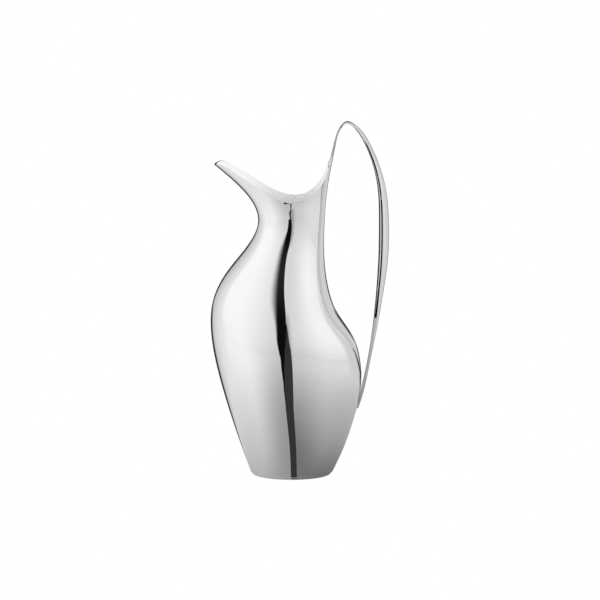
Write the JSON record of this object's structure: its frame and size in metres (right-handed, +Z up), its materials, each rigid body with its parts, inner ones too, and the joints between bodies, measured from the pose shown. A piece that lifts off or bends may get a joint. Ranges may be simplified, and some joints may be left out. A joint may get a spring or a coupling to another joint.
{
  "type": "water pitcher",
  "caption": "Tall polished water pitcher with a leaning belly, slim neck, long slanted spout and a looped handle grown out of its back wall.",
  "frame": {"origin": "centre of the foot, in the plane that the pitcher stands on", "axes": "+Z up; -X towards the spout, +X towards the handle; the pitcher is symmetric in the plane y = 0"},
  "size_m": [0.1426, 0.0972, 0.2858],
  "materials": {
    "mirror_silver": "mirror polish"
  },
  "bodies": {
    "root": {"body_near": "mirror_silver", "body_far": "mirror_silver", "base_plate": "mirror_silver", "handle_strap": "mirror_silver", "handle_outer": "mirror_silver", "handle_inner": "mirror_silver", "handle_tail": "mirror_silver"}
  },
  "joints": []
}
